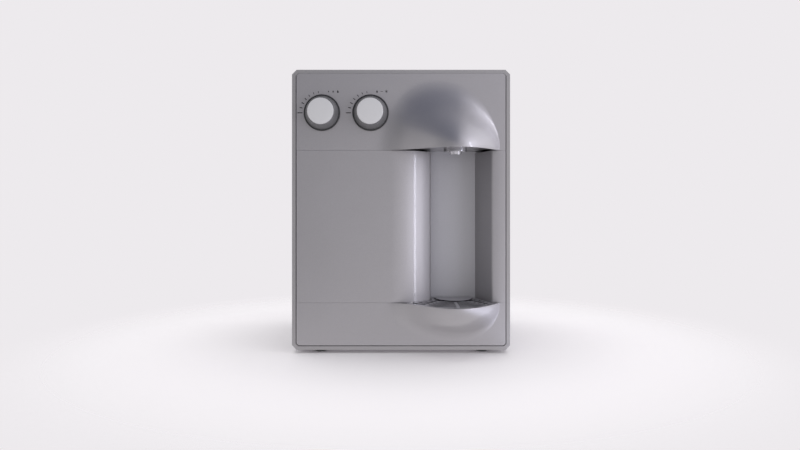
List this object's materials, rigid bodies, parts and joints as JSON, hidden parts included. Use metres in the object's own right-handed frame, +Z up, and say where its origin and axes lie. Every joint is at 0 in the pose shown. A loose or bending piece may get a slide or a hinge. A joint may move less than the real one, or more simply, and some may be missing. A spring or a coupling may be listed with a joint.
{
  "type": "water purifier",
  "caption": "Countertop water purifier with a chilled tank: sheet casing, two front dials, overhanging spout hood, glass niche, lift-out drip tray and rear wire condenser.",
  "frame": {"origin": "under the middle of the whole object, on the surface that it stands on", "axes": "+Z up, the front with the dials and the niche faces -Y, +X to the right seen from the front"},
  "size_m": [0.306, 0.36, 0.398],
  "materials": {
    "casing_paint": "satin grey",
    "silver_plastic": "silver metallic semi-gloss",
    "graphite_plastic": "satin dark grey",
    "cap_plastic": "light grey",
    "black_rubber": "matte",
    "black_plastic": "matte",
    "white_plastic": "matte",
    "foam": "expanded foam",
    "blue_plastic": "matte",
    "water_tube": "translucent white",
    "brass": "machined",
    "steel": "plain",
    "black_steel": "black lacquer",
    "copper": "copper tube"
  },
  "bodies": {
    "housing": {"left_side": "casing_paint", "right_side": "casing_paint", "top_cover": "casing_paint", "base_pan": "casing_paint", "rear_panel": "casing_paint", "feet": "black_rubber", "rear_screws": "steel", "upper_fascia": "silver_plastic", "middle_panel": "silver_plastic", "right_pillar": "silver_plastic", "niche_back": "silver_plastic", "hood_soffit": "silver_plastic", "lower_fascia": "silver_plastic", "tray_deck": "silver_plastic", "spout_body": "silver_plastic", "spout_nut": "brass", "spout_nozzle": "silver_plastic", "flow_valve": "white_plastic", "selector_valve": "white_plastic", "valve_nuts": "brass", "stem_seals": "black_rubber", "filter_bracket": "steel", "filter_heads": "white_plastic", "sediment_cartridge": "white_plastic", "carbon_cartridge": "blue_plastic", "inlet_fitting": "white_plastic", "inlet_nut": "brass", "inlet_tube": "water_tube", "filter_link_tube": "water_tube", "filtered_tube": "water_tube", "valve_link_tube": "water_tube", "tank_feed_tube": "water_tube", "cold_tube": "water_tube", "spout_tube": "water_tube", "cold_tank": "steel", "tank_lid": "steel", "evaporator_coil": "copper", "insulation_shell": "foam", "insulation_lid": "foam", "compressor": "black_steel", "compressor_grommets": "black_rubber", "compressor_bolts": "steel", "terminal_cover": "black_plastic", "condenser_tube": "black_steel", "condenser_wires": "black_steel", "condenser_standoffs": "black_plastic", "filter_drier": "copper", "discharge_line": "copper", "liquid_line": "copper", "suction_line": "copper", "thermostat": "black_plastic", "cord_gland": "black_rubber"},
    "flow_knob": {"flow_knob": "graphite_plastic", "flow_knob_cap": "cap_plastic", "flow_stem": "brass"},
    "selector_knob": {"selector_knob": "graphite_plastic", "selector_knob_cap": "cap_plastic", "selector_stem": "brass"},
    "drip_basin": {"drip_basin": "graphite_plastic"},
    "drip_grille": {"drip_grille": "graphite_plastic"}
  },
  "joints": [
    {"name": "flow_knob_turn", "type": "hinge", "parent": "housing", "child": "flow_knob", "pos_m": [-0.1108, -0.122, 0.3375], "axis": [0, 1, 0], "range_deg": [0, 80]},
    {"name": "selector_knob_turn", "type": "hinge", "parent": "housing", "child": "selector_knob", "pos_m": [-0.0427, -0.122, 0.3375], "axis": [0, 1, 0], "range_deg": [0, 80]},
    {"name": "drip_basin_lift", "type": "slide", "parent": "housing", "child": "drip_basin", "axis": [0, 0, 1], "range_m": [0, 0.04]},
    {"name": "drip_grille_lift", "type": "slide", "parent": "drip_basin", "child": "drip_grille", "axis": [0, 0, 1], "range_m": [0, 0.06]}
  ]
}
